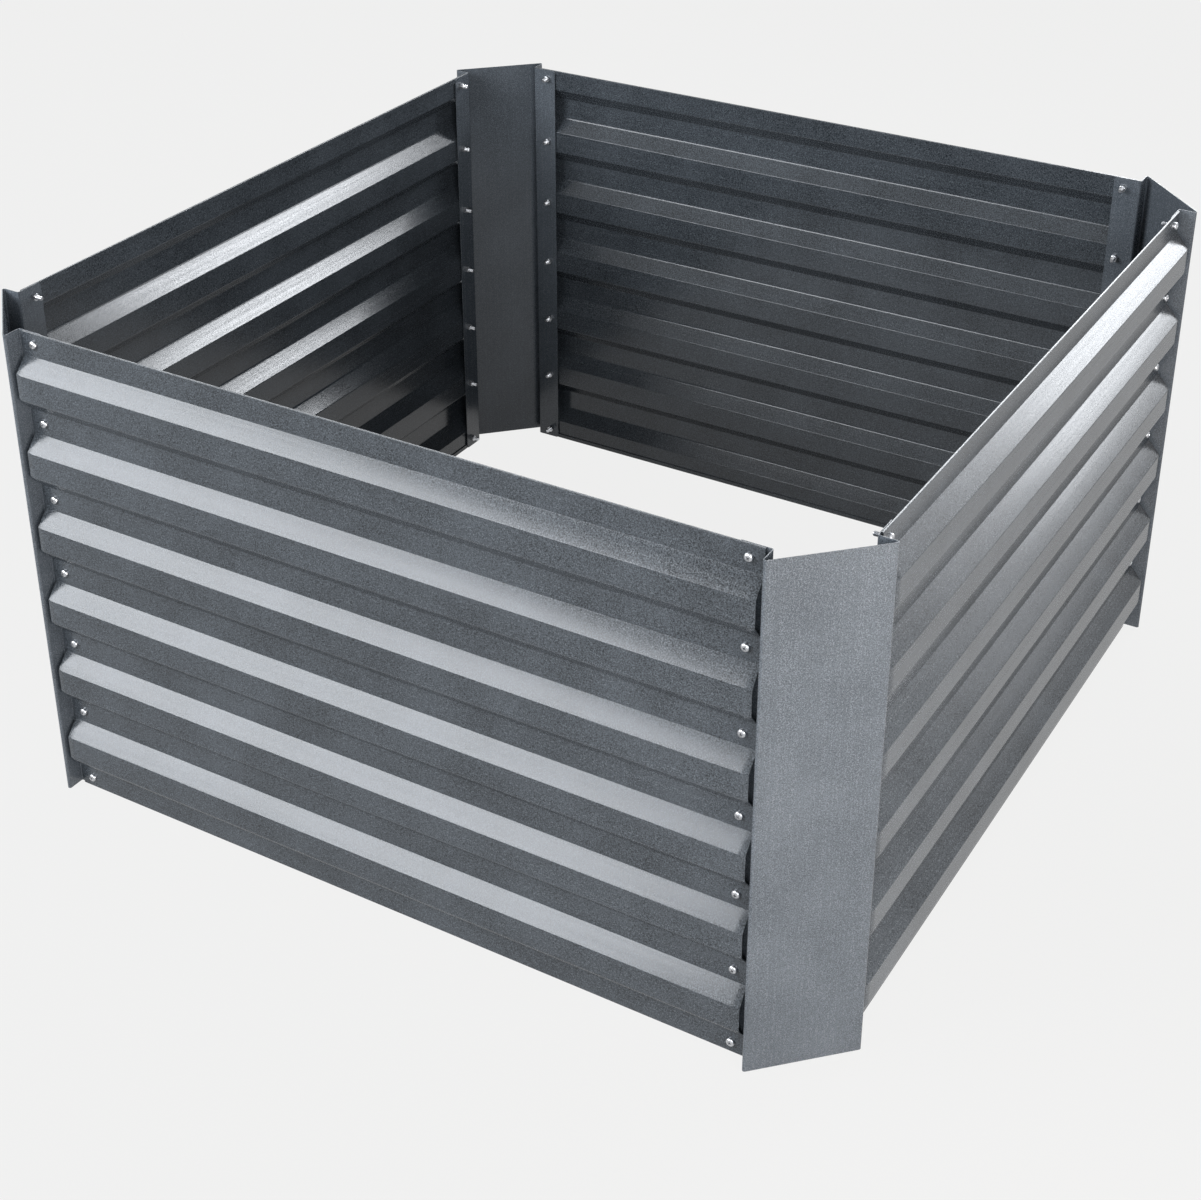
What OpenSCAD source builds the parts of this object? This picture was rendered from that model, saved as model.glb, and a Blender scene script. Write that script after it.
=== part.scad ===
/* [Bed] */
// Length of the front and back panels
panel_length_x = 890; // [400:1:2000]
// Length of the left and right panels
panel_length_y = 890; // [400:1:2000]
// Height of the panels and corner posts
bed_height = 600; // [560:1:700]

/* [Panel sheet] */
// Thickness of the panels' sheet steel
panel_sheet = 1; // [0.6:0.1:1.4]
// Inside radius of the bends of a rib
rib_bend_radius = 3; // [1:0.5:5]
// Height of the folded hem on the top and bottom edges
hem_height = 6; // [4:0.5:8]
// Slit left between the two layers of a hem
hem_gap = 0.5; // [0.3:0.1:1]

/* [Ribs] */
// Number of ribs on each panel
rib_count = 6; // [4:1:6]
// How far a rib stands out from the flat sheet
rib_depth = 17; // [8:0.5:20]
// Height of a rib's flat crest
rib_crest = 30; // [20:0.5:32]
// Height that each slope of a rib takes up
rib_slope_height = 17.75; // [10:0.25:20]

/* [Corner posts] */
// Thickness of the corner posts' sheet steel
post_sheet = 1; // [0.6:0.1:1.5]
// Inside radius of the bends of a post
post_bend_radius = 1.5; // [1:0.5:3]
// Distance from a post's return leg to the flat of the panel round the corner
corner_setback = 72.5; // [50:0.5:100]
// Gap between a panel's end and the post's return leg
panel_end_gap = 6; // [1:0.5:8]
// How far the edge of a post stands out past the crests of the ribs
post_proud = 1.5; // [0.5:0.5:5]
// Width of the flange that is bolted behind a panel
post_flange = 34; // [34:0.5:50]

/* [Fasteners] */
// Height of the lowest bolt above the bottom edge, and of the top edge above the highest bolt
bolt_edge = 13.5; // [13:0.5:20]
// Distance from a panel's end to its column of bolts
bolt_inset = 15.5; // [12:0.5:20]
// Diameter of a bolt's thread
bolt_diameter = 5; // [4:0.5:6]
// Length of a bolt under its head
bolt_length = 16; // [12:1:25]
// Diameter of a bolt's pan head
head_diameter = 10; // [9:0.5:12]
// Height of a bolt's pan head
head_height = 3.8; // [3:0.1:5]
// Size across the flats of a nut
nut_across_flats = 8; // [8:0.5:10]
// Height of a nut
nut_height = 4.7; // [3:0.1:5]
// How much wider than its bolt each hole is
hole_clearance = 0.5; // [0.2:0.1:1]

/* [Hidden] */
// Straight pieces in each rounded bend of a rib, a hem and a post
rib_bend_steps = 5;
hem_bend_steps = 4;
post_bend_steps = 6;
// Share of the distance between a hem's two layers that its fold radius takes
fold_share = 0.46;
// Overrun of every cut past the faces that it goes through
cut_overrun = 1;
// Gap all round between a bolt's thread and its nut
thread_gap = 0.05;
// Height of the chamfer at a bolt's tip
tip_chamfer = 0.8;
// Height of the upright rim of a pan head, as a share of the head's height
head_rim_share = 0.35;
// Width of the cross recess, of its slots and its depth, as shares of the head's diameter and height
recess_width_share = 0.52;
recess_slot_share = 0.12;
recess_depth_share = 0.6;
recess_bottom_share = 0.45;
// Height of a nut's corner chamfer, as a share of its height
nut_chamfer_share = 0.12;
// Facets of round heads and threads
round_steps = 40;
dome_steps = 6;

// Distance over which a hem's two layers and its slit lie behind the panel's outer face
hem_depth = 2 * panel_sheet + hem_gap;
rib_pitch = (bed_height - 2 * bolt_edge) / rib_count;
// Distance from the bed's centre to the outer face of the side panels and of the front and back panels
half_x = panel_length_x / 2 + panel_end_gap + corner_setback;
half_y = panel_length_y / 2 + panel_end_gap + corner_setback;
// Distance from the return leg to the column of bolts
bolt_from_leg = panel_end_gap + bolt_inset;
hole_diameter = bolt_diameter + hole_clearance;
// Distance by which the edge of a post stands out from the flats of a panel
post_reach = rib_depth + post_proud;
// Distance behind the panel's outer face at which the nuts sit on the post's flange
nut_seat = hem_depth + post_sheet;

panel_colour = "#5a6068";
post_colour = "#6b7078";
zinc_colour = "#c3c6c8";

// Bent sheet
// A sheet is drawn as the path of its middle plane, whose corners are rounded by bends.
// Each face of the sheet is that path moved to one side by half the thickness.
function direction(from, to) = (to - from) / norm(to - from);
function left_of(d) = [-d.y, d.x];
function turned(v, angle) = [v.x * cos(angle) - v.y * sin(angle), v.x * sin(angle) + v.y * cos(angle)];

// Points of one bend at the corner p1, on the face that lies side to the left of the path
function bend_points(p0, p1, p2, radius, side, steps) =
    let (arriving = direction(p0, p1),
         leaving = direction(p1, p2),
         turn = sign(arriving.x * leaving.y - arriving.y * leaving.x),
         angle = acos(arriving * leaving),
         normal = turn * left_of(arriving),
         centre = p1 - arriving * radius * tan(angle / 2) + normal * radius)
    [for (i = [0:steps]) centre - turned(normal, turn * angle * i / steps) * (radius - turn * side)];

function end_point(p, d, side) = p + left_of(d) * side;

// One face of the sheet; radii and steps hold a value for each inner corner of the path
function sheet_face(path, radii, steps, side) =
    let (last = len(path) - 1)
    concat([end_point(path[0], direction(path[0], path[1]), side)],
           [for (i = [1:last - 1])
               for (p = bend_points(path[i - 1], path[i], path[i + 1], radii[i - 1], side, steps[i - 1])) p],
           [end_point(path[last], direction(path[last - 1], path[last]), side)]);

function reversed(list) = [for (i = [len(list) - 1:-1:0]) list[i]];

module bent_sheet_profile(path, radii, steps, thickness) {
    polygon(concat(sheet_face(path, radii, steps, thickness / 2),
                   reversed(sheet_face(path, radii, steps, -thickness / 2))));
}

// Panel
// The path runs down the panel: x is outwards from the outer face of the flats, y is the height.
flat_x = -panel_sheet / 2;
hem_x = flat_x - panel_sheet - hem_gap;
crest_x = rib_depth - panel_sheet / 2;
top_y = bed_height - panel_sheet / 2;
bottom_y = panel_sheet / 2;

function rib_path(middle) =
    [[flat_x, middle + rib_crest / 2 + rib_slope_height],
     [crest_x, middle + rib_crest / 2],
     [crest_x, middle - rib_crest / 2],
     [flat_x, middle - rib_crest / 2 - rib_slope_height]];

panel_path = concat(
    [[hem_x, bed_height - hem_height], [hem_x, top_y], [flat_x, top_y]],
    [for (i = [rib_count - 1:-1:0]) for (p = rib_path(bolt_edge + (i + 1 / 2) * rib_pitch)) p],
    [[flat_x, bottom_y], [hem_x, bottom_y], [hem_x, hem_height]]);

fold_radius = (panel_sheet + hem_gap) * fold_share;
rib_radius = rib_bend_radius + panel_sheet / 2;
rib_bends = 4 * rib_count;
panel_radii = concat([fold_radius, fold_radius],
                     [for (i = [1:rib_bends]) rib_radius],
                     [fold_radius, fold_radius]);
panel_steps = concat([hem_bend_steps, hem_bend_steps],
                     [for (i = [1:rib_bends]) rib_bend_steps],
                     [hem_bend_steps, hem_bend_steps]);

// Heights of the bolts, one in the middle of each flat
bolt_heights = [for (i = [0:rib_count]) bolt_edge + i * rib_pitch];

// A ribbed panel that faces +Y, with the outer face of its flats at y = 0
module ribbed_panel(length) {
    difference() {
        rotate([90, 0, 90])
            linear_extrude(height = length, center = true)
                bent_sheet_profile(panel_path, panel_radii, panel_steps, panel_sheet);
        for (end = [-1, 1])
            for (height = bolt_heights)
                translate([end * (length / 2 - bolt_inset), cut_overrun, height])
                    rotate([90, 0, 0])
                        cylinder(d = hole_diameter, h = panel_sheet + 2 * cut_overrun, $fn = round_steps);
    }
}

// Corner post
// The path is a plan view, with the outer faces of the two panels meeting at the origin
// and the bed lying towards -X and +Y.
post_radius = post_bend_radius + post_sheet / 2;
diagonal_turn = 135;
flange_y = hem_depth + post_sheet / 2;
leg_x = -corner_setback + post_sheet / 2;
apex_y = post_reach - post_radius - post_sheet / 2 + post_radius * tan(diagonal_turn / 2);

post_half_path = [[-corner_setback - post_flange, flange_y], [leg_x, flange_y], [leg_x, -apex_y]];
post_path = concat(post_half_path, [for (p = reversed(post_half_path)) [-p.y, -p.x]]);
post_radii = [for (i = [1:4]) post_radius];
post_steps = [for (i = [1:4]) post_bend_steps];

module folded_post() {
    difference() {
        linear_extrude(height = bed_height)
            bent_sheet_profile(post_path, post_radii, post_steps, post_sheet);
        for (height = bolt_heights) {
            translate([-corner_setback - bolt_from_leg, nut_seat + cut_overrun, height])
                rotate([90, 0, 0])
                    cylinder(d = hole_diameter, h = post_sheet + 2 * cut_overrun, $fn = round_steps);
            translate([-nut_seat - cut_overrun, corner_setback + bolt_from_leg, height])
                rotate([0, 90, 0])
                    cylinder(d = hole_diameter, h = post_sheet + 2 * cut_overrun, $fn = round_steps);
        }
    }
}

// Fasteners
// Each one points along +Z: the head's underside and the panel's outer face are at z = 0.
head_radius = head_diameter / 2;
head_rim = head_height * head_rim_share;
head_dome = head_height - head_rim;
recess_width = head_diameter * recess_width_share;
recess_slot = head_diameter * recess_slot_share;
recess_depth = head_height * recess_depth_share;

module pan_head() {
    rotate_extrude($fn = round_steps)
        polygon(concat([[0, 0], [head_radius, 0]],
                       [for (i = [0:dome_steps])
                           let (a = 90 * i / dome_steps)
                           [head_radius * cos(a), head_rim + head_dome * sin(a)]]));
}

module cross_recess() {
    translate([0, 0, head_height - recess_depth])
        intersection() {
            cylinder(d1 = recess_width * recess_bottom_share, d2 = recess_width,
                     h = recess_depth + cut_overrun, $fn = round_steps);
            for (turn = [0, 90])
                rotate([0, 0, turn])
                    translate([-recess_width / 2, -recess_slot / 2, 0])
                        cube([recess_width, recess_slot, recess_depth + cut_overrun]);
        }
}

module bolt() {
    difference() {
        union() {
            pan_head();
            translate([0, 0, tip_chamfer - bolt_length])
                cylinder(d = bolt_diameter, h = bolt_length - tip_chamfer + head_rim, $fn = round_steps);
            translate([0, 0, -bolt_length])
                cylinder(d1 = bolt_diameter - 2 * tip_chamfer, d2 = bolt_diameter,
                         h = tip_chamfer, $fn = round_steps);
        }
        cross_recess();
    }
}

nut_corner_radius = nut_across_flats / 2 / cos(30);
nut_chamfer = nut_height * nut_chamfer_share;

module nut() {
    translate([0, 0, -nut_seat - nut_height])
        difference() {
            intersection() {
                cylinder(r = nut_corner_radius, h = nut_height, $fn = 6);
                rotate_extrude($fn = round_steps)
                    polygon([[0, 0],
                             [nut_across_flats / 2, 0],
                             [nut_corner_radius, nut_chamfer],
                             [nut_corner_radius, nut_height - nut_chamfer],
                             [nut_across_flats / 2, nut_height],
                             [0, nut_height]]);
            }
            translate([0, 0, -cut_overrun])
                cylinder(d = bolt_diameter + 2 * thread_gap, h = nut_height + 2 * cut_overrun,
                         $fn = round_steps);
        }
}

// Places
// Each side is turned from the back panel's place: the outer face looks towards the turned +Y.
module on_side(turn, distance) {
    rotate([0, 0, turn])
        translate([0, distance, 0])
            children();
}

// The fasteners of one end of a side; end is 1 or -1 along the side's own +X
module fastener_column(length, end) {
    for (height = bolt_heights)
        translate([end * (length / 2 - bolt_inset), 0, height])
            rotate([-90, 0, 0])
                children();
}

module post_at(turn, x, y) {
    translate([x, y, 0])
        rotate([0, 0, turn])
            folded_post();
}

module panel_front() { color(panel_colour) on_side(180, half_y) ribbed_panel(panel_length_x); }
module panel_right() { color(panel_colour) on_side(-90, half_x) ribbed_panel(panel_length_y); }
module panel_back() { color(panel_colour) on_side(0, half_y) ribbed_panel(panel_length_x); }
module panel_left() { color(panel_colour) on_side(90, half_x) ribbed_panel(panel_length_y); }

module corner_post_front_left() { color(post_colour) post_at(-90, -half_x, -half_y); }
module corner_post_front_right() { color(post_colour) post_at(0, half_x, -half_y); }
module corner_post_back_right() { color(post_colour) post_at(90, half_x, half_y); }
module corner_post_back_left() { color(post_colour) post_at(180, -half_x, half_y); }

module bolts_front_panel_left_end() {
    color(zinc_colour) on_side(180, half_y) fastener_column(panel_length_x, 1) bolt();
}
module bolts_front_panel_right_end() {
    color(zinc_colour) on_side(180, half_y) fastener_column(panel_length_x, -1) bolt();
}
module bolts_right_panel_front_end() {
    color(zinc_colour) on_side(-90, half_x) fastener_column(panel_length_y, 1) bolt();
}
module bolts_right_panel_back_end() {
    color(zinc_colour) on_side(-90, half_x) fastener_column(panel_length_y, -1) bolt();
}
module bolts_back_panel_right_end() {
    color(zinc_colour) on_side(0, half_y) fastener_column(panel_length_x, 1) bolt();
}
module bolts_back_panel_left_end() {
    color(zinc_colour) on_side(0, half_y) fastener_column(panel_length_x, -1) bolt();
}
module bolts_left_panel_back_end() {
    color(zinc_colour) on_side(90, half_x) fastener_column(panel_length_y, 1) bolt();
}
module bolts_left_panel_front_end() {
    color(zinc_colour) on_side(90, half_x) fastener_column(panel_length_y, -1) bolt();
}

module nuts_front_panel_left_end() {
    color(zinc_colour) on_side(180, half_y) fastener_column(panel_length_x, 1) nut();
}
module nuts_front_panel_right_end() {
    color(zinc_colour) on_side(180, half_y) fastener_column(panel_length_x, -1) nut();
}
module nuts_right_panel_front_end() {
    color(zinc_colour) on_side(-90, half_x) fastener_column(panel_length_y, 1) nut();
}
module nuts_right_panel_back_end() {
    color(zinc_colour) on_side(-90, half_x) fastener_column(panel_length_y, -1) nut();
}
module nuts_back_panel_right_end() {
    color(zinc_colour) on_side(0, half_y) fastener_column(panel_length_x, 1) nut();
}
module nuts_back_panel_left_end() {
    color(zinc_colour) on_side(0, half_y) fastener_column(panel_length_x, -1) nut();
}
module nuts_left_panel_back_end() {
    color(zinc_colour) on_side(90, half_x) fastener_column(panel_length_y, 1) nut();
}
module nuts_left_panel_front_end() {
    color(zinc_colour) on_side(90, half_x) fastener_column(panel_length_y, -1) nut();
}

panel_front();
panel_right();
panel_back();
panel_left();
corner_post_front_left();
corner_post_front_right();
corner_post_back_right();
corner_post_back_left();
bolts_front_panel_left_end();
bolts_front_panel_right_end();
bolts_right_panel_front_end();
bolts_right_panel_back_end();
bolts_back_panel_right_end();
bolts_back_panel_left_end();
bolts_left_panel_back_end();
bolts_left_panel_front_end();
nuts_front_panel_left_end();
nuts_front_panel_right_end();
nuts_right_panel_front_end();
nuts_right_panel_back_end();
nuts_back_panel_right_end();
nuts_back_panel_left_end();
nuts_left_panel_back_end();
nuts_left_panel_front_end();
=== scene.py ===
# %% [markdown]
# # A raised garden bed of ribbed steel sheet
# The real bed is eight pieces of coated steel sheet and 56 small bolts with their nuts. Four ribbed
# panels make the walls, and four folded posts hold them together at the corners.
# The solid model of the bed is loaded first, and it fixes every size and place. The pieces made here
# stand exactly where its pieces stand, with rounder bends, real screw heads and a real finish.

# %% Load the solid model
import math

import bmesh
import bpy
from mathutils import Matrix, Vector


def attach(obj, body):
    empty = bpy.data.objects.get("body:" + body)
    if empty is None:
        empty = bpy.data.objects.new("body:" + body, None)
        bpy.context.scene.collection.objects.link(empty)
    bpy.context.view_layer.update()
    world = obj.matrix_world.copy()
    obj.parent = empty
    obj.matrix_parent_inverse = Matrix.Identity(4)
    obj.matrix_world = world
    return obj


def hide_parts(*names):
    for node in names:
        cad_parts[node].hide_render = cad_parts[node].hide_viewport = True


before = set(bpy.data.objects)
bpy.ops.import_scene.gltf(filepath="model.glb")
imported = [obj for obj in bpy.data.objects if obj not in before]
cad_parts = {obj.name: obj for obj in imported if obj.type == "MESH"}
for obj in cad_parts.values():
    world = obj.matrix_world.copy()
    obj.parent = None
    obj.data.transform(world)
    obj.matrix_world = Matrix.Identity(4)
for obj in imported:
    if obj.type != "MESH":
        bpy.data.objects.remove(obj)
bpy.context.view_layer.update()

# %% [markdown]
# ## The camera
# The photograph was taken from a little above and to the right of the front, with a short telephoto
# lens whose picture was straightened afterwards. A lens of 63 mm near the same place in the room gives
# nearly the same picture. A small vertical shift keeps the uprights more upright.

# %% Camera
CAMERA_PLACE = (1.124, -1.960, 1.552)
CAMERA_TURN = math.radians(30.55)
CAMERA_DROP = math.radians(27.52)
CAMERA_LENS = 62.74
CAMERA_SHIFT = -0.15
SENSOR_WIDTH = 36

bpy.ops.object.camera_add(location=CAMERA_PLACE, rotation=(math.pi / 2 - CAMERA_DROP, 0, CAMERA_TURN))
camera = bpy.context.object
camera.name = "Camera"
camera.data.sensor_width = SENSOR_WIDTH
camera.data.lens = CAMERA_LENS
camera.data.shift_y = CAMERA_SHIFT
bpy.context.scene.camera = camera
bpy.context.scene.view_settings.view_transform = "Standard"
print("camera lens", camera.data.lens, "mm")

# %% [markdown]
# ## Light and floor
# Sheet steel with a satin coat is drawn by what it mirrors, so each lamp stands where some part of the
# bed looks. One broad lamp at the front left lights the upward slopes of the front panel. Three
# behind light the slopes of the right panel and the inside of the left one. Three at the right light
# the near post and the walls, and the one nearest to the post is a little warmer than daylight. Two
# long narrow lamps behind show in the narrow tops of the hems.
# A world picture would light the bed in one step, but its bright spots can't be moved one by one, so
# nine flat lamps were chosen. The floor is a pale matt plane: the camera and every mirror see it
# lifted towards an even pale grey, and the part that isn't lifted keeps the shadow of the bed.

# %% Lamps
PALE = (0.887, 0.887, 0.884, 1)
AIM = Vector((0, 0, 0.3))
DAYLIGHT = (0.93, 0.96, 1.0)
WARMER = (1, 0.92, 0.86)


def add_lamp(name, place, width, height, brightness, aim=AIM):
    """A flat lamp that faces a point, as bright as asked whatever its size."""
    bpy.ops.object.light_add(type="AREA", location=place)
    lamp = bpy.context.object
    lamp.name = name
    lamp.data.shape = "RECTANGLE"
    lamp.data.size = width
    lamp.data.size_y = height
    lamp.data.energy = brightness * math.pi * width * height
    lamp.data.color = DAYLIGHT
    lamp.rotation_mode = "QUATERNION"
    lamp.rotation_quaternion = (Vector(place) - Vector(aim)).to_track_quat("Z", "Y")
    lamp.visible_camera = False
    print(name, "shines with", round(lamp.data.energy, 1), "watts")
    return lamp


def add_strip(name, start, end, width, brightness):
    """A long narrow lamp from one point to another, turned towards the bed."""
    reach = Vector(end) - Vector(start)
    along = reach.normalized()
    centre = (Vector(start) + Vector(end)) / 2
    outward = centre - AIM
    outward = (outward - along * outward.dot(along)).normalized()
    lamp = add_lamp(name, centre, reach.length, width, brightness)
    facing = Matrix((along, outward.cross(along), outward)).transposed()
    lamp.rotation_quaternion = facing.to_quaternion()


add_lamp("lamp_front_left", (-1.52, -2.15, 1.80), 2.1, 1.35, 14)
add_lamp("lamp_behind_high", (0.80, 2.20, 2.38), 0.62, 0.72, 28)
add_lamp("lamp_behind_low", (1.42, 2.20, 1.18), 0.7, 0.55, 9.5)
add_lamp("lamp_behind_wide", (1.60, 2.30, 1.20), 1.3, 1.0, 2.4)
add_lamp("lamp_front_low", (1.80, -2.30, 1.30), 1.9, 1.2, 8)
post_lamp = add_lamp("lamp_near_post", (1.32, -0.88, 0.50), 0.6, 0.6, 14, (0.5, -0.5, 0.3))
post_lamp.data.color = WARMER
add_lamp("lamp_right_high", (1.67, -0.96, 2.65), 1.2, 1.2, 1.0)
add_strip("lamp_right_hem", (0.10, 2.30, 1.27), (-0.64, 2.30, 2.44), 0.4, 14)
add_strip("lamp_front_hem", (-0.80, 2.30, 2.46), (-3.50, 2.30, 2.46), 0.4, 9)

# %% A room and a floor
ROOM_FILL = (0.8, 0.83, 0.86, 1)
ROOM_FILL_STRENGTH = 0.2
FLOOR_SIZE = 40
FLOOR_DROP = 0.0005
FLOOR_GREY = (0.35, 0.35, 0.35, 1)
FLOOR_LIFT = 0.96


def see_pale(tree):
    """One where the camera, a mirror or glass looks, and nothing where light only bounces."""
    path = tree.nodes.new("ShaderNodeLightPath")
    seen = path.outputs["Is Camera Ray"]
    for ray in ("Is Glossy Ray", "Is Transmission Ray"):
        either = tree.nodes.new("ShaderNodeMath")
        either.operation = "MAXIMUM"
        tree.links.new(seen, either.inputs[0])
        tree.links.new(path.outputs[ray], either.inputs[1])
        seen = either.outputs[0]
    return seen


room = bpy.data.worlds.new("pale_room")
bpy.context.scene.world = room
room.use_nodes = True
room_tree = room.node_tree
room_tree.nodes.clear()
room_dim = room_tree.nodes.new("ShaderNodeBackground")
room_dim.inputs["Color"].default_value = ROOM_FILL
room_dim.inputs["Strength"].default_value = ROOM_FILL_STRENGTH
room_pale = room_tree.nodes.new("ShaderNodeBackground")
room_pale.inputs["Color"].default_value = PALE
room_pale.inputs["Strength"].default_value = 1
room_mix = room_tree.nodes.new("ShaderNodeMixShader")
room_out = room_tree.nodes.new("ShaderNodeOutputWorld")
room_tree.links.new(see_pale(room_tree), room_mix.inputs[0])
room_tree.links.new(room_dim.outputs[0], room_mix.inputs[1])
room_tree.links.new(room_pale.outputs[0], room_mix.inputs[2])
room_tree.links.new(room_mix.outputs[0], room_out.inputs["Surface"])

bpy.ops.object.select_all(action="DESELECT")
bpy.ops.mesh.primitive_plane_add(size=FLOOR_SIZE, location=(0, 0, -FLOOR_DROP))
floor = bpy.context.object
floor.name = "floor"
floor_paint = bpy.data.materials.new("floor_paint")
floor_paint.use_nodes = True
floor_tree = floor_paint.node_tree
floor_matt = floor_tree.nodes["Principled BSDF"]
floor_matt.inputs["Base Color"].default_value = FLOOR_GREY
floor_matt.inputs["Roughness"].default_value = 0.9
floor_matt.inputs["Specular IOR Level"].default_value = 0.1
floor_glow = floor_tree.nodes.new("ShaderNodeEmission")
floor_glow.inputs["Color"].default_value = PALE
floor_glow.inputs["Strength"].default_value = 1
floor_share = floor_tree.nodes.new("ShaderNodeMath")
floor_share.operation = "MULTIPLY"
floor_share.inputs[1].default_value = FLOOR_LIFT
floor_mix = floor_tree.nodes.new("ShaderNodeMixShader")
floor_tree.links.new(see_pale(floor_tree), floor_share.inputs[0])
floor_tree.links.new(floor_share.outputs[0], floor_mix.inputs[0])
floor_tree.links.new(floor_matt.outputs[0], floor_mix.inputs[1])
floor_tree.links.new(floor_glow.outputs[0], floor_mix.inputs[2])
floor_tree.links.new(floor_mix.outputs[0], floor_tree.nodes["Material Output"].inputs["Surface"])
floor.data.materials.append(floor_paint)

# %% [markdown]
# ## Powder coat
# The sheet is coated in anthracite powder that was baked on. Close up it is not smooth: it has a fine
# grain of one or two millimetres, with lighter specks, and its satin shine is a little uneven. The
# posts have the same powder with a finer grain; their coat is painted a little lighter than the
# panels' as painted light, standing in for the light that falls on the posts.
# A picture of a real coat could be laid on the sheet, but it would need unwrapping and would repeat,
# so the grain is noise on Object coordinates, which keeps its size on every piece. It is turned a
# little, so that no face of the bed lies along the noise's own grid. It drives the colour, the
# roughness and a shallow bump together, because the real specks are raised grains of powder. The
# bright slopes also show fine streaks along the way the sheet was rolled: noise that is stretched
# along that way.

# %% Noise, ranges and sums
def add_noise(tree, place, scale, detail, roughness):
    """A cloud of noise read at one place socket, at so many grains a metre."""
    noise = tree.nodes.new("ShaderNodeTexNoise")
    noise.inputs["Scale"].default_value = scale
    noise.inputs["Detail"].default_value = detail
    noise.inputs["Roughness"].default_value = roughness
    tree.links.new(place, noise.inputs["Vector"])
    return noise.outputs["Fac"]


def add_range(tree, value, low_in, high_in, low_out, high_out):
    """Stretch a value from one range to another."""
    stretch = tree.nodes.new("ShaderNodeMapRange")
    stretch.inputs["From Min"].default_value = low_in
    stretch.inputs["From Max"].default_value = high_in
    stretch.inputs["To Min"].default_value = low_out
    stretch.inputs["To Max"].default_value = high_out
    tree.links.new(value, stretch.inputs["Value"])
    return stretch.outputs["Result"]


def add_sum(tree, first, second):
    """Two values added up."""
    node = tree.nodes.new("ShaderNodeMath")
    node.operation = "ADD"
    tree.links.new(first, node.inputs[0])
    tree.links.new(second, node.inputs[1])
    return node.outputs[0]


# %% Coat material
COAT_IOR = 1.42
GRAIN_TURN = (0.5, 0.3, 0.4)
CLOUD_SCALE = 14
STREAK_SCALE = 520
STREAK_HEIGHT = 0.2
COAT_BUMP = 0.1
COAT_BUMP_DEPTH = 0.00012


def powder_coat(name, dark, light, grain_scale, shine, rolling):
    """A baked powder coat between two tones, with grain and with fine streaks from rolling."""
    coat = bpy.data.materials.new(name)
    coat.use_nodes = True
    tree = coat.node_tree
    shader = tree.nodes["Principled BSDF"]
    shader.inputs["Metallic"].default_value = 0
    shader.inputs["IOR"].default_value = COAT_IOR
    place = tree.nodes.new("ShaderNodeTexCoord").outputs["Object"]
    turned = tree.nodes.new("ShaderNodeMapping")
    turned.inputs["Rotation"].default_value = GRAIN_TURN
    tree.links.new(place, turned.inputs["Vector"])
    grain = add_noise(tree, turned.outputs["Vector"], grain_scale, 2.0, 0.6)
    cloud = add_noise(tree, place, CLOUD_SCALE, 3.0, 0.5)

    tone = add_range(tree, grain, 0.32, 0.68, 0, 1)
    drift = add_range(tree, cloud, 0.3, 0.7, -0.12, 0.12)
    blend = add_sum(tree, tone, drift)
    ramp = tree.nodes.new("ShaderNodeValToRGB")
    ramp.color_ramp.elements[0].position = 0.0
    ramp.color_ramp.elements[0].color = (*dark, 1)
    ramp.color_ramp.elements[1].position = 1.0
    ramp.color_ramp.elements[1].color = (*light, 1)
    tree.links.new(blend, ramp.inputs["Fac"])
    tree.links.new(ramp.outputs["Color"], shader.inputs["Base Color"])

    rolled = tree.nodes.new("ShaderNodeMapping")
    rolled.inputs["Scale"].default_value = rolling
    tree.links.new(place, rolled.inputs["Vector"])
    streak = add_noise(tree, rolled.outputs["Vector"], STREAK_SCALE, 2.0, 0.5)

    rough = add_range(tree, grain, 0.40, 0.60, shine - 0.03, shine + 0.07)
    line = add_range(tree, streak, 0.35, 0.65, -0.025, 0.025)
    tree.links.new(add_sum(tree, rough, line), shader.inputs["Roughness"])

    bump = tree.nodes.new("ShaderNodeBump")
    bump.inputs["Strength"].default_value = COAT_BUMP
    bump.inputs["Distance"].default_value = COAT_BUMP_DEPTH
    low_lines = add_range(tree, streak, 0, 1, 0, STREAK_HEIGHT)
    tree.links.new(add_sum(tree, grain, low_lines), bump.inputs["Height"])
    tree.links.new(bump.outputs["Normal"], shader.inputs["Normal"])
    print(name, "has", len(tree.nodes), "nodes")
    return coat


panel_coat = powder_coat(
    "panel_powder_coat", (0.008, 0.010, 0.012), (0.069, 0.079, 0.090), 720, 0.20, (0.006, 0.006, 1)
)
# The post coat is the same paint as the panel coat, painted lighter: painted light for the light the posts
# catch.
post_coat_with_painted_light = powder_coat(
    "post_powder_coat_painted_light", (0.032, 0.038, 0.045), (0.112, 0.126, 0.142), 880, 0.21, (1, 1, 0.006)
)

# %% [markdown]
# ## Zinc
# The bolts and nuts are steel with a bright zinc plating. One even grey would do from far away, but
# the real plating is a little cloudy. It is a metal, so its colour is in its reflections. One fine
# noise drives its tone, its roughness and a shallow bump: the dark spots are the dull ones.

# %% Zinc material
zinc = bpy.data.materials.new("bright_zinc")
zinc.use_nodes = True
zinc_tree = zinc.node_tree
zinc_shader = zinc_tree.nodes["Principled BSDF"]
zinc_shader.inputs["Metallic"].default_value = 1
zinc_place = zinc_tree.nodes.new("ShaderNodeTexCoord").outputs["Object"]
zinc_cloud = add_noise(zinc_tree, zinc_place, 450, 3.0, 0.6)
zinc_ramp = zinc_tree.nodes.new("ShaderNodeValToRGB")
zinc_ramp.color_ramp.elements[0].position = 0.3
zinc_ramp.color_ramp.elements[0].color = (0.38, 0.39, 0.41, 1)
zinc_ramp.color_ramp.elements[1].position = 0.7
zinc_ramp.color_ramp.elements[1].color = (0.62, 0.63, 0.65, 1)
zinc_tree.links.new(zinc_cloud, zinc_ramp.inputs["Fac"])
zinc_tree.links.new(zinc_ramp.outputs["Color"], zinc_shader.inputs["Base Color"])
zinc_rough = add_range(zinc_tree, zinc_cloud, 0.3, 0.7, 0.38, 0.24)
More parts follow.
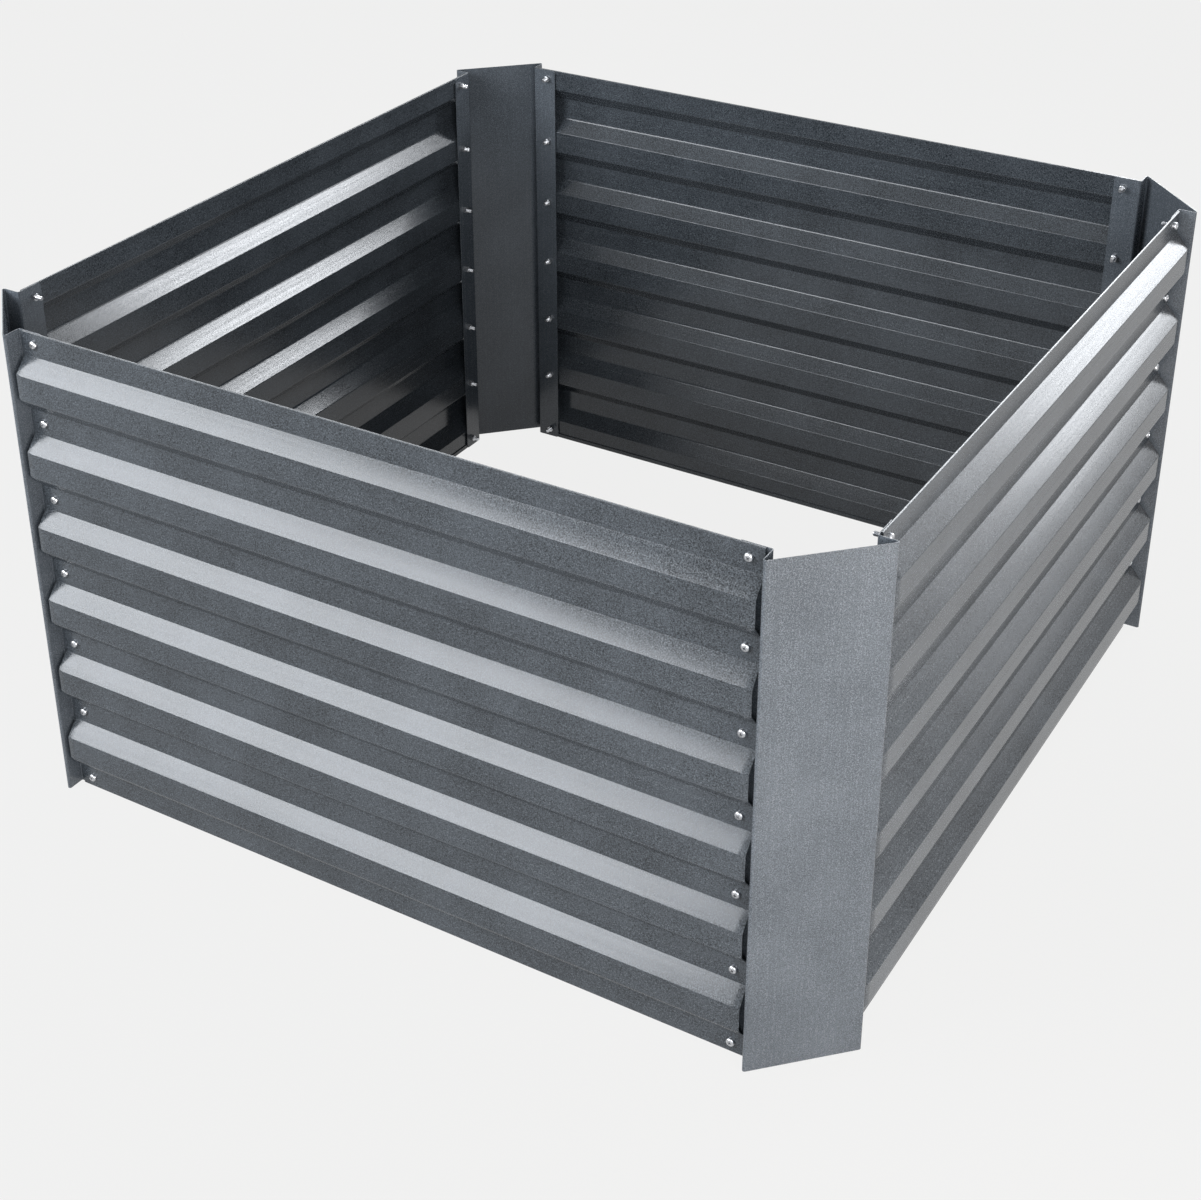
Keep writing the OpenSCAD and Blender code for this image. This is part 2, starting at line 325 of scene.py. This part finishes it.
zinc_tree.links.new(zinc_rough, zinc_shader.inputs["Roughness"])
zinc_bump = zinc_tree.nodes.new("ShaderNodeBump")
zinc_bump.inputs["Strength"].default_value = 0.2
zinc_bump.inputs["Distance"].default_value = 0.00005
zinc_tree.links.new(zinc_cloud, zinc_bump.inputs["Height"])
zinc_tree.links.new(zinc_bump.outputs["Normal"], zinc_shader.inputs["Normal"])

# %% [markdown]
# ## Hand tools
# Every piece below is modelled as it would be by hand: a primitive, then edit mode, then modifiers.
# These few helpers open a piece for editing, pick the faces, edges or points that a test accepts, cut
# across it, and apply a modifier. A test could also name faces by their numbers, but those change with
# every cut, so places and normals are asked for instead. Everything is deselected first, because an
# operator acts on all that is selected.

# %% Helpers
MM = 0.001
TOUCH = MM / 10
EDGE_BREAK = 0.2 * MM
SHARP_EDGE = math.radians(60)
SMOOTH_BEND = math.radians(50)


def choose(piece):
    """Select one piece alone."""
    bpy.ops.object.select_all(action="DESELECT")
    piece.select_set(True)
    bpy.context.view_layer.objects.active = piece


def open_for_editing(piece):
    """Select one piece alone and enter edit mode."""
    choose(piece)
    bpy.ops.object.mode_set(mode="EDIT")


def close():
    """Back to object mode."""
    bpy.ops.object.mode_set(mode="OBJECT")


def pick(kind, wanted):
    """Select only the points, edges or faces that a test accepts."""
    bpy.ops.mesh.select_mode(type=kind)
    bpy.ops.mesh.select_all(action="DESELECT")
    mesh = bpy.context.edit_object.data
    shape = bmesh.from_edit_mesh(mesh)
    parts = {"VERT": shape.verts, "EDGE": shape.edges, "FACE": shape.faces}[kind]
    chosen = [part for part in parts if wanted(part)]
    for part in chosen:
        part.select_set(True)
    shape.select_flush_mode()
    bmesh.update_edit_mesh(mesh)
    return len(chosen)


def middle(edge):
    """The point halfway along an edge."""
    return (edge.verts[0].co + edge.verts[1].co) / 2


def cut_across(point, normal):
    """Cut the whole open piece along a plane and keep both sides."""
    bpy.ops.mesh.select_all(action="SELECT")
    bpy.ops.mesh.bisect(plane_co=point, plane_no=normal)


def finish_with(piece, kind, **settings):
    """Add a modifier, set it and apply it."""
    modifier = piece.modifiers.new(kind.lower(), kind)
    for name, value in settings.items():
        setattr(modifier, name, value)
    choose(piece)
    bpy.ops.object.modifier_apply(modifier=modifier.name)


def fix_place(piece):
    """Put the place, turn and size of the object into its mesh."""
    choose(piece)
    bpy.ops.object.transform_apply(location=True, rotation=True, scale=True)


def copy_of(piece, name):
    """A copy with its own mesh."""
    choose(piece)
    bpy.ops.object.duplicate(linked=False)
    double = bpy.context.object
    double.name = name
    double.data.name = name
    return double


def quarter_turned(piece, name, quarters):
    """A copy turned round the middle of the bed by quarter turns."""
    double = copy_of(piece, name)
    double.rotation_euler = (0, 0, quarters * math.pi / 2)
    fix_place(double)
    return double


def finish_sheet(piece, thickness, coat):
    """Give a folded plane the thickness of its sheet, softly broken edges and its coat."""
    finish_with(piece, "SOLIDIFY", thickness=thickness, offset=0, use_even_offset=True)
    finish_with(piece, "BEVEL", width=EDGE_BREAK, segments=2, limit_method="ANGLE", angle_limit=SHARP_EDGE)
    bpy.ops.object.shade_smooth_by_angle(angle=SMOOTH_BEND)
    finish_with(piece, "WEIGHTED_NORMAL", keep_sharp=True)
    piece.data.materials.append(coat)


def triangles(piece):
    """How many triangles a piece has."""
    return sum(len(face.vertices) - 2 for face in piece.data.polygons)


# %% [markdown]
# ## A ribbed panel
# A real panel is one sheet that runs through a roll former, which folds six ribs outwards. The top and
# bottom edges are then folded back inside as hems, so that no hand meets a raw edge.
# It could be an outline that is extruded along the panel, but then each bend would need its own
# arc. Here it starts as one flat plane in the middle of the sheet, as the real one does. It is cut
# along the bend lines, the crests are pulled outwards, and every bend line is bevelled into a round
# bend. Each hem is the edge extruded inwards and then back, and Solidify gives the sheet its
# thickness at the end.

# %% Panel: cut the sheet along its bend lines
PANEL_LENGTH = 890 * MM
BED_HEIGHT = 600 * MM
PANEL_SHEET = 1 * MM
PANEL_FACE = 523.5 * MM
RIB_COUNT = 6
RIB_DEPTH = 17 * MM
RIB_CREST = 30 * MM
RIB_SLOPE = 17.75 * MM
RIB_BEND = 1.2 * MM
FIRST_BOLT = 13.5 * MM
BOLT_PITCH = 95.5 * MM

panel_middle = PANEL_FACE - PANEL_SHEET / 2
sheet_height = BED_HEIGHT - PANEL_SHEET
rib_heights = [FIRST_BOLT + BOLT_PITCH * (number + 0.5) for number in range(RIB_COUNT)]

bpy.ops.object.select_all(action="DESELECT")
bpy.ops.mesh.primitive_plane_add(
    size=1,
    location=(0, -panel_middle, BED_HEIGHT / 2),
    rotation=(math.pi / 2, 0, 0),
)
panel = bpy.context.object
panel.name = "ribbed_panel_front"
panel.scale = (PANEL_LENGTH, sheet_height, 1)
fix_place(panel)
open_for_editing(panel)
for rib_height in rib_heights:
    for step in (RIB_CREST / 2, RIB_CREST / 2 + RIB_SLOPE):
        cut_across((0, 0, rib_height - step), (0, 0, 1))
        cut_across((0, 0, rib_height + step), (0, 0, 1))

# %% Panel: pull the crests out
def on_a_crest(face):
    """Whether a face is the front of a rib."""
    height = face.calc_center_median().z
    return any(abs(height - rib_height) < RIB_CREST / 2 for rib_height in rib_heights)


print("crests:", pick("FACE", on_a_crest))
bpy.ops.transform.translate(value=(0, -RIB_DEPTH, 0))

# %% [markdown]
# The slopes of the ribs are not quite flat: the rollers leave them a little fuller in the middle, and
# the reflections show it. A cut along the middle of each slope, moved out by 0.3 mm, is enough. The
# bend under each crest is softer than the other three of its rib: the photograph shows the crest
# darken slowly there, while its upper edge is crisp.
# A bevel's plain profile is only a true arc where the faces meet at a right angle, so the profile is
# worked out from the turn of each bend.

# %% Panel: fill the slopes and round the bends
SLOPE_FULLNESS = 0.3 * MM
SOFT_WIDTH = 2 * MM

slope_length = math.hypot(RIB_SLOPE, RIB_DEPTH)
slope_out = RIB_SLOPE / slope_length * SLOPE_FULLNESS
slope_up = RIB_DEPTH / slope_length * SLOPE_FULLNESS
slope_middle = (RIB_CREST + RIB_SLOPE) / 2
for way in (-1, 1):
    lines = [rib_height + way * slope_middle for rib_height in rib_heights]
    for line in lines:
        cut_across((0, 0, line), (0, 0, 1))
    pick("EDGE", lambda edge: min(abs(middle(edge).z - line) for line in lines) < TOUCH)
    bpy.ops.transform.translate(value=(0, -slope_out, way * slope_up))


def arc_profile(turn):
    """The bevel profile that makes a true arc where a sheet turns by an angle."""
    share = math.cos(turn / 2) / (1 + math.cos(turn / 2))
    return ((1 + share) / 2) ** 2


bend_turn = math.atan2(RIB_DEPTH, RIB_SLOPE)
bend_width = RIB_BEND * math.tan(bend_turn / 2)


def is_bend_line(edge):
    """Whether the sheet turns at an edge."""
    return len(edge.link_faces) == 2 and edge.calc_face_angle() > bend_turn / 2


def is_soft_line(edge):
    """Whether an edge is the bend under a crest."""
    height = middle(edge).z
    under_a_crest = any(abs(height - rib_height + RIB_CREST / 2) < TOUCH for rib_height in rib_heights)
    return is_bend_line(edge) and under_a_crest


print("soft bend lines:", pick("EDGE", is_soft_line))
bpy.ops.mesh.bevel(
    offset_type="OFFSET", offset=SOFT_WIDTH, segments=8, profile=arc_profile(bend_turn), affect="EDGES"
)
print("bend lines:", pick("EDGE", is_bend_line))
bpy.ops.mesh.bevel(
    offset_type="OFFSET", offset=bend_width, segments=4, profile=arc_profile(bend_turn), affect="EDGES"
)

# %% Panel: fold the hems
HEM_HEIGHT = 6 * MM
HEM_GAP = 0.5 * MM
HEM_ROUNDING = 0.25

hem_step = HEM_GAP + PANEL_SHEET
for edge_height, down in ((BED_HEIGHT - PANEL_SHEET / 2, -1), (PANEL_SHEET / 2, 1)):
    pick("EDGE", lambda edge: abs(middle(edge).z - edge_height) < TOUCH)
    bpy.ops.mesh.extrude_region_move(TRANSFORM_OT_translate={"value": (0, hem_step, 0)})
    fold_back = down * (HEM_HEIGHT - PANEL_SHEET / 2)
    bpy.ops.mesh.extrude_region_move(TRANSFORM_OT_translate={"value": (0, 0, fold_back)})


def is_hem_fold(edge):
    """Whether an edge runs along the top or the bottom of the panel."""
    along = abs(edge.verts[0].co.x - edge.verts[1].co.x) > PANEL_LENGTH / 2
    height = middle(edge).z
    at_bottom = abs(height - PANEL_SHEET / 2) < TOUCH
    at_top = abs(height - BED_HEIGHT + PANEL_SHEET / 2) < TOUCH
    return along and (at_bottom or at_top)


print("hem folds:", pick("EDGE", is_hem_fold))
bpy.ops.mesh.bevel(
    offset_type="OFFSET", offset=hem_step / 2 * HEM_ROUNDING, segments=4, profile=0.5, affect="EDGES"
)

# %% [markdown]
# The shear that cuts the sheet to length presses the ends of the ribs in. They could be sculpted, but
# a few cuts near each end, each squeezed a little more towards the flat of the panel, give the crests
# the same turned-down corners every time.

# %% Panel: press the rib ends in
PRESSED_ENDS = ((9 * MM, 0.998), (6 * MM, 0.99), (3 * MM, 0.97), (0, 0.93))


def is_pressed(point):
    """Whether a point lies on the cut that is being pressed, and off the flat of the panel."""
    return abs(point.co.x - place) < TOUCH and point.co.y < -panel_middle - TOUCH


for distance, squeeze in PRESSED_ENDS:
    for side in (-1, 1):
        place = side * (PANEL_LENGTH / 2 - distance)
        if distance:
            cut_across((place, 0, 0), (1, 0, 0))
        pick("VERT", is_pressed)
        bpy.ops.transform.resize(value=(1, squeeze, 1), center_override=(0, -panel_middle, 0))
close()

finish_sheet(panel, PANEL_SHEET, panel_coat)
print("one panel has", triangles(panel), "triangles")

# %% Panel: four sides from one
for quarters, side_name in enumerate(("front", "right", "back", "left")):
    wall = quarter_turned(panel, "ribbed_panel_" + side_name + "_sheet", quarters)
    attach(wall, "root")
    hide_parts("panel_" + side_name)
bpy.data.objects.remove(panel)

# %% [markdown]
# ## A corner post
# A post is a strip of sheet bent four times on a folding machine. The wide plate in the middle lies
# across the corner, a narrow leg runs back from each of its sides, and a flange lies behind the end of
# each panel, where the bolts go through.
# Five boxes could be joined, but a sheet that is folded from one strip keeps one thickness round
# every bend. So it starts as the wide plate alone. Each side edge is extruded once for the leg and
# once for the flange, the bends are bevelled round, the flange corners are rounded, and the sheet is
# thickened.

# %% Post: fold the sheet
POST_SHEET = 1 * MM
POST_FLANGE_DEPTH = 3 * MM
POST_EDGE = 20.83 * MM
POST_SETBACK = 72 * MM
POST_FLANGE_END = 106.5 * MM
POST_BEND = 2 * MM
POST_CORNER = 4 * MM
PLATE_TURN = math.radians(135)
FLANGE_TURN = math.radians(90)

plate_corner = Vector((PANEL_FACE - POST_SETBACK, -PANEL_FACE - POST_EDGE, 0))
other_corner = Vector((PANEL_FACE + POST_EDGE, -PANEL_FACE + POST_SETBACK, 0))
plate_middle = (plate_corner + other_corner) / 2
plate_width = (other_corner - plate_corner).length

bpy.ops.object.select_all(action="DESELECT")
bpy.ops.mesh.primitive_plane_add(
    size=1,
    location=(plate_middle.x, plate_middle.y, BED_HEIGHT / 2),
    rotation=(math.pi / 2, 0, math.pi / 4),
)
post = bpy.context.object
post.name = "folded_post"
post.scale = (plate_width, BED_HEIGHT, 1)
fix_place(post)
open_for_editing(post)
leg = POST_EDGE + POST_FLANGE_DEPTH
flange = POST_FLANGE_END - POST_SETBACK
for corner, leg_way, flange_way in (
    (plate_corner, Vector((0, 1, 0)), Vector((-1, 0, 0))),
    (other_corner, Vector((-1, 0, 0)), Vector((0, 1, 0))),
):
    pick("EDGE", lambda edge: (middle(edge).xy - corner.xy).length < TOUCH)
    bpy.ops.mesh.extrude_region_move(TRANSFORM_OT_translate={"value": leg_way * leg})
    bpy.ops.mesh.extrude_region_move(TRANSFORM_OT_translate={"value": flange_way * flange})

# %% Post: round the bends
sharp_turn = POST_BEND * math.tan(PLATE_TURN / 2)
square_turn = POST_BEND * math.tan(FLANGE_TURN / 2)


def at_plate(edge):
    """Whether an edge is one of the two bends beside the wide plate."""
    near = min((middle(edge).xy - corner.xy).length for corner in (plate_corner, other_corner))
    return len(edge.link_faces) == 2 and near < TOUCH


def at_leg(edge):
    """Whether an edge is one of the two bends between a leg and its flange."""
    if len(edge.link_faces) != 2 or at_plate(edge):
        return False
    return edge.calc_face_angle() > FLANGE_TURN - math.radians(10)


print("plate bends:", pick("EDGE", at_plate))
bpy.ops.mesh.bevel(
    offset_type="OFFSET", offset=sharp_turn, segments=6, profile=arc_profile(PLATE_TURN), affect="EDGES"
)
print("flange bends:", pick("EDGE", at_leg))
bpy.ops.mesh.bevel(offset_type="OFFSET", offset=square_turn, segments=4, profile=0.5, affect="EDGES")

# %% Post: round the flange corners and thicken the sheet
flange_line = PANEL_FACE - POST_FLANGE_END


def is_flange_corner(point):
    """Whether a point is a free corner of a flange."""
    at_end = min(abs(point.co.x - flange_line), abs(point.co.y + flange_line)) < TOUCH
    return at_end and len(point.link_edges) == 2


print("flange corners:", pick("VERT", is_flange_corner))
bpy.ops.mesh.bevel(offset_type="OFFSET", offset=POST_CORNER, segments=4, profile=0.5, affect="VERTICES")
close()

finish_sheet(post, POST_SHEET, post_coat_with_painted_light)
print("one post has", triangles(post), "triangles")

# %% Post: four corners from one
for quarters, corner_name in enumerate(("front_right", "back_right", "back_left", "front_left")):
    stand = quarter_turned(post, "folded_post_" + corner_name, quarters)
    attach(stand, "root")
    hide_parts("corner_post_" + corner_name)
bpy.data.objects.remove(post)

# %% [markdown]
# ## A bolt
# The bolts are M5 with a pan head and a cross recess. The head is a short cylinder whose top face is
# extruded and shrunk ring by ring into a low dome. A thread could be a true screw, made by Spin, but
# it is hardly seen behind the nuts. So the bottom face is inset to the shank and extruded down in half
# pitches, each one shrunk or grown, which gives the ridges. The cross is cut with a Boolean, as a
# punch presses it into the real head.

# %% Bolt: the head
HEAD_RADIUS = 5 * MM
HEAD_HEIGHT = 3.8 * MM
RIM_HEIGHT = 1 * MM
DOME_RINGS = ((4.93, 1.6), (4.68, 2.3), (4.15, 2.95), (3.3, 3.45), (2.3, 3.72), (1.2, 3.8))

bpy.ops.object.select_all(action="DESELECT")
bpy.ops.mesh.primitive_cylinder_add(
    vertices=28, radius=HEAD_RADIUS, depth=RIM_HEIGHT, location=(0, 0, RIM_HEIGHT / 2)
)
bolt = bpy.context.object
bolt.name = "pan_bolt"
fix_place(bolt)
open_for_editing(bolt)
pick("FACE", lambda face: face.normal.z > 0.9)
radius = HEAD_RADIUS
height = RIM_HEIGHT
for next_radius, next_height in DOME_RINGS:
    rise = next_height * MM - height
    bpy.ops.mesh.extrude_region_move(TRANSFORM_OT_translate={"value": (0, 0, rise)})
    shrink = next_radius * MM / radius
    bpy.ops.transform.resize(value=(shrink, shrink, 1))
    radius = next_radius * MM
    height = next_height * MM

# %% Bolt: the thread
BOLT_RADIUS = 2.5 * MM
BOLT_LENGTH = 16 * MM
PLAIN_SHANK = 3 * MM
THREAD_PITCH = 0.8 * MM
THREAD_CORE = 0.84
THREAD_TIP = 0.8

pick("FACE", lambda face: face.normal.z < -0.9)
bpy.ops.mesh.inset(thickness=HEAD_RADIUS - BOLT_RADIUS)
bpy.ops.mesh.extrude_region_move(TRANSFORM_OT_translate={"value": (0, 0, -PLAIN_SHANK)})
half_turns = round((BOLT_LENGTH - PLAIN_SHANK) / THREAD_PITCH * 2)
half_pitch = (BOLT_LENGTH - PLAIN_SHANK) / half_turns
for number in range(half_turns):
    bpy.ops.mesh.extrude_region_move(TRANSFORM_OT_translate={"value": (0, 0, -half_pitch)})
    size = THREAD_CORE if number % 2 == 0 else 1 / THREAD_CORE
    bpy.ops.transform.resize(value=(size, size, 1))
bpy.ops.transform.resize(value=(THREAD_TIP, THREAD_TIP, 1))
close()

# %% Bolt: the cross recess
PUNCH_WIDTH = 1.35 * MM
PUNCH_PLACE = 0.5 * MM
PUNCH_ARM = 1.95 * MM
PUNCH_RISE = 2 * MM
PUNCH_DROP = 1.1 * MM
PUNCH_POINT = 0.45

bpy.ops.object.select_all(action="DESELECT")
bpy.ops.mesh.primitive_cube_add(size=PUNCH_WIDTH, location=(0, 0, HEAD_HEIGHT - PUNCH_PLACE))
punch = bpy.context.object
punch.name = "cross_punch"
fix_place(punch)
open_for_editing(punch)
pick("FACE", lambda face: abs(face.normal.z) < 0.1)
bpy.ops.mesh.extrude_faces_move(TRANSFORM_OT_shrink_fatten={"value": PUNCH_ARM})
pick("FACE", lambda face: face.normal.z > 0.9)
bpy.ops.transform.translate(value=(0, 0, PUNCH_RISE))
pick("FACE", lambda face: face.normal.z < -0.9)
bpy.ops.transform.translate(value=(0, 0, -PUNCH_DROP))
bpy.ops.transform.resize(value=(PUNCH_POINT, PUNCH_POINT, 1))
close()
finish_with(bolt, "BOOLEAN", object=punch, operation="DIFFERENCE", solver="EXACT")
bpy.data.objects.remove(punch)
bpy.ops.object.shade_smooth_by_angle(angle=math.radians(40))
bolt.data.materials.append(zinc)
print("one bolt has", triangles(bolt), "triangles")

# %% [markdown]
# ## A nut
# A nut is cut from a six-sided bar and then chamfered on a lathe. A bevel would slope all six corners
# straight, where the lathe leaves curved ones. So the same two steps make it here: a six-sided
# cylinder is intersected with a round blank whose rims are sloped, and the thread hole is cut through
# with a spool whose ends flare into the countersinks.

# %% Nut
NUT_FLATS = 8 * MM
NUT_HEIGHT = 4.7 * MM
NUT_SEAT = 3.5 * MM

nut_middle = -(NUT_SEAT + NUT_HEIGHT / 2)
nut_corner = NUT_FLATS / math.sqrt(3)
bpy.ops.object.select_all(action="DESELECT")
bpy.ops.mesh.primitive_cylinder_add(
    vertices=6, radius=nut_corner, depth=NUT_HEIGHT, location=(0, 0, nut_middle)
)
nut = bpy.context.object
nut.name = "hex_nut"
fix_place(nut)

# %% Nut: chamfer and hole
NUT_FACE_RADIUS = NUT_FLATS * 0.475
NUT_CHAMFER = 0.45 * MM
HOLE_RADIUS = 2.35 * MM
COUNTERSINK_RADIUS = 2.95 * MM
SPOOL_PAST_NUT = 0.1 * MM


def add_turned_tool(name, radius, end_radius, depth, slope_depth):
    """A round tool whose two ends slope to another radius."""
    bpy.ops.object.select_all(action="DESELECT")
    bpy.ops.mesh.primitive_cylinder_add(
        vertices=30, radius=radius, depth=depth, location=(0, 0, nut_middle)
    )
    tool = bpy.context.object
    tool.name = name
    fix_place(tool)
    open_for_editing(tool)
    for side in (-1, 1):
        cut_across((0, 0, nut_middle + side * (depth / 2 - slope_depth)), (0, 0, 1))
    pick("FACE", lambda face: abs(face.normal.z) > 0.9)
    size = end_radius / radius
    bpy.ops.transform.resize(value=(size, size, 1), center_override=(0, 0, nut_middle))
    close()
    return tool


blank = add_turned_tool("nut_blank", nut_corner, NUT_FACE_RADIUS, NUT_HEIGHT, NUT_CHAMFER)
finish_with(nut, "BOOLEAN", object=blank, operation="INTERSECT", solver="EXACT")
bpy.data.objects.remove(blank)
spool_depth = NUT_HEIGHT + SPOOL_PAST_NUT
spool = add_turned_tool("hole_spool", HOLE_RADIUS, COUNTERSINK_RADIUS, spool_depth, NUT_CHAMFER)
finish_with(nut, "BOOLEAN", object=spool, operation="DIFFERENCE", solver="EXACT")
bpy.data.objects.remove(spool)
bpy.ops.object.shade_smooth_by_angle(angle=math.radians(25))
nut.data.materials.append(zinc)
print("one nut has", triangles(nut), "triangles")

# %% [markdown]
# ## Columns of bolts and nuts
# Seven bolts stand in a column at each end of each panel, one on every flat. An array would copy them
# in one step, but all turned alike. Here each copy is turned round its own axis by another angle,
# because nobody lines up the crosses of 56 screws.

# %% Place the columns
BOLT_INSET = 15.5 * MM
BOLTS_IN_COLUMN = 7
SPIN_STEP = math.radians(53)
FIRST_SPINS = {"bolts": (0.4, 0.9), "nuts": (0.2, 0.7)}

bolt_column = PANEL_LENGTH / 2 - BOLT_INSET
tip_forward = Matrix.Rotation(math.pi / 2, 4, "X")


def add_column(part, name, side, quarters, first_spin):
    """Seven copies of a part in a column, at one end of one panel, joined into one piece."""
    turn = Matrix.Rotation(quarters * math.pi / 2, 4, "Z")
    copies = []
    for number in range(BOLTS_IN_COLUMN):
        place = Vector((side * bolt_column, -PANEL_FACE, FIRST_BOLT + BOLT_PITCH * number))
        spin = Matrix.Rotation(first_spin + SPIN_STEP * number, 4, "Z")
        double = copy_of(part, name)
        double.matrix_world = turn @ Matrix.Translation(place) @ tip_forward @ spin
        copies.append(double)
    bpy.ops.object.select_all(action="DESELECT")
    for double in copies:
        double.select_set(True)
    bpy.context.view_layer.objects.active = copies[0]
    bpy.ops.object.join()
    column = bpy.context.object
    column.name = name
    fix_place(column)
    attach(column, "root")
    return column


ends = (
    ("front_panel_left_end", -1, 0),
    ("front_panel_right_end", 1, 0),
    ("right_panel_front_end", -1, 1),
    ("right_panel_back_end", 1, 1),
    ("back_panel_right_end", -1, 2),
    ("back_panel_left_end", 1, 2),
    ("left_panel_back_end", -1, 3),
    ("left_panel_front_end", 1, 3),
)
for order, (end_name, side, quarters) in enumerate(ends):
    for part, part_name, kind in ((bolt, "pan_bolts_", "bolts"), (nut, "hex_nuts_", "nuts")):
        start, more = FIRST_SPINS[kind]
        column = add_column(part, part_name + end_name, side, quarters, start + more * order)
        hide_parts(kind + "_" + end_name)
bpy.data.objects.remove(bolt)
bpy.data.objects.remove(nut)
